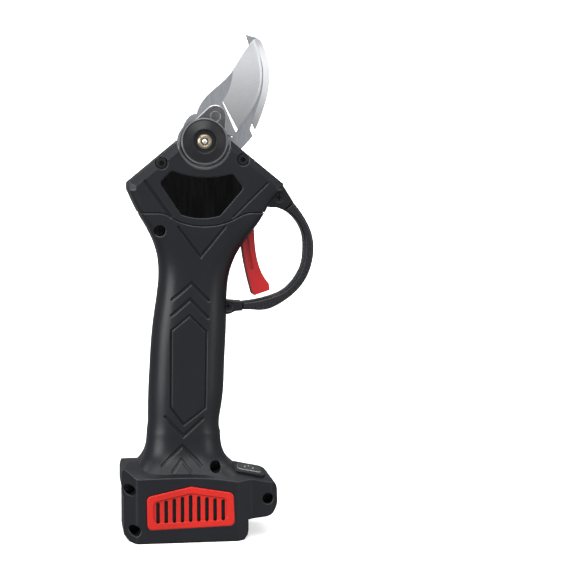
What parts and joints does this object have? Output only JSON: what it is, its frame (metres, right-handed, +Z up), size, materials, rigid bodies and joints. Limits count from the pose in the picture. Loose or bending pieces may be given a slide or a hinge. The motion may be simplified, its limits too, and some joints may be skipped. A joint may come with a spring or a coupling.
{
  "type": "cordless pruner",
  "caption": "Hand-held battery electric pruner: geared bypass blades on a straight grip, finger guard and slide-on battery foot",
  "frame": {"origin": "middle of the battery dock's mouth in the plane of the foot's underside", "axes": "+Z up the grip from the foot to the blades, +X to the trigger side, +Y away from the face with the window and the grease nipple"},
  "size_m": [0.1098, 0.0638, 0.2799],
  "materials": {
    "blade_steel": "ground",
    "board_green": "solder mask",
    "brass": "turned",
    "bright_steel": "polished",
    "bronze": "sintered",
    "cap_black": "satin",
    "cast_case": "die cast",
    "component_black": "moulded",
    "copper": "enamelled copper",
    "dark_steel": "blackened, worn bright at the edges",
    "gear_steel": "machined",
    "guard_black": "satin",
    "housing_black": "fine satin texture",
    "insert_red": "satin",
    "key_grey": "satin",
    "motor_shell": "zinc plated",
    "screw_black": "blackened",
    "trigger_red": "satin",
    "window_black": "polished",
    "wire_black": "silicone",
    "wire_red": "silicone"
  },
  "bodies": {
    "housing": {"head_cover_front": "housing_black", "head_cover_back": "housing_black", "handle_shell_front": "housing_black", "handle_shell_back": "housing_black", "window_panel": "window_black", "side_insert_front": "insert_red", "side_insert_back": "insert_red", "power_bezel": "housing_black", "power_switch": "component_black", "fixed_blade": "blade_steel", "gear_case": "cast_case", "pivot_bush_front": "bronze", "pivot_bush_rear": "bronze", "ring_gear": "gear_steel", "bearing_outer_race": "gear_steel", "bearing_balls": "gear_steel", "motor_can": "motor_shell", "motor_end_bell": "motor_shell", "motor_stator": "copper", "trigger_pin": "gear_steel", "trigger_switch": "component_black", "trigger_guard": "guard_black", "shell_screws": "screw_black", "head_screws": "screw_black", "guard_screws": "screw_black", "case_screws": "screw_black", "blade_screws": "screw_black", "control_board": "board_green", "power_transistors": "component_black", "capacitors": "component_black", "terminal_block": "component_black", "contact_blades": "brass", "motor_leads": "wire_black", "battery_leads": "wire_red", "switch_lead": "wire_black"},
    "cutting_blade": {"moving_blade": "blade_steel", "bevel_sector": "gear_steel", "lock_plate": "dark_steel", "lock_pin": "dark_steel", "pivot_bolt": "gear_steel", "pivot_cap": "cap_black", "grease_nipple": "brass", "nipple_ball": "bright_steel"},
    "pinion": {"bevel_pinion": "gear_steel", "planet_carrier": "gear_steel", "bearing_inner_race": "gear_steel"},
    "planet_1": {"planet_gear_1": "gear_steel"},
    "planet_2": {"planet_gear_2": "gear_steel"},
    "planet_3": {"planet_gear_3": "gear_steel"},
    "rotor": {"motor_rotor": "motor_shell", "sun_gear": "gear_steel"},
    "trigger": {"trigger": "trigger_red", "trigger_spring": "gear_steel"},
    "power_key": {"power_key": "key_grey"}
  },
  "joints": [
    {"name": "blade_pivot", "type": "hinge", "parent": "housing", "child": "cutting_blade", "pos_m": [0.0115, 0, 0.2205], "axis": [0, -1, 0], "range_deg": [0, 50]},
    {"name": "pinion_spin", "type": "hinge", "parent": "housing", "child": "pinion", "pos_m": [0.0115, 0, 0.2205], "axis": [0.0628, 0, 0.998], "range_deg": [0, 180]},
    {"name": "rotor_spin", "type": "hinge", "parent": "housing", "child": "rotor", "pos_m": [0.0115, 0, 0.2205], "axis": [0.0628, 0, 0.998], "range_deg": [0, 810]},
    {"name": "planet_1_spin", "type": "hinge", "parent": "pinion", "child": "planet_1", "pos_m": [0.00866, -0.00877, 0.17529], "axis": [0.0628, 0, 0.998], "range_deg": [-504, 0]},
    {"name": "planet_2_spin", "type": "hinge", "parent": "pinion", "child": "planet_2", "pos_m": [0.00107, 0.00439, 0.17577], "axis": [0.0628, 0, 0.998], "range_deg": [-504, 0]},
    {"name": "planet_3_spin", "type": "hinge", "parent": "pinion", "child": "planet_3", "pos_m": [0.01624, 0.00439, 0.17481], "axis": [0.0628, 0, 0.998], "range_deg": [-504, 0]},
    {"name": "trigger_pivot", "type": "hinge", "parent": "housing", "child": "trigger", "pos_m": [0.0362, 0, 0.1785], "axis": [0, 1, 0], "range_deg": [0, 12], "stiffness_Nm_per_rad": 0.4, "springref_deg": -11.46},
    {"name": "power_press", "type": "slide", "parent": "housing", "child": "power_key", "axis": [-0.1997, 0.1497, -0.9684], "range_m": [0, 0.0008], "stiffness_N_per_m": 1500, "springref_m": -0.0006}
  ],
  "couplings": [
    {"joint": "pinion_spin", "follows": "blade_pivot", "ratio": 3.6},
    {"joint": "rotor_spin", "follows": "blade_pivot", "ratio": 16.2},
    {"joint": "planet_1_spin", "follows": "blade_pivot", "ratio": -10.08},
    {"joint": "planet_2_spin", "follows": "blade_pivot", "ratio": -10.08},
    {"joint": "planet_3_spin", "follows": "blade_pivot", "ratio": -10.08}
  ]
}
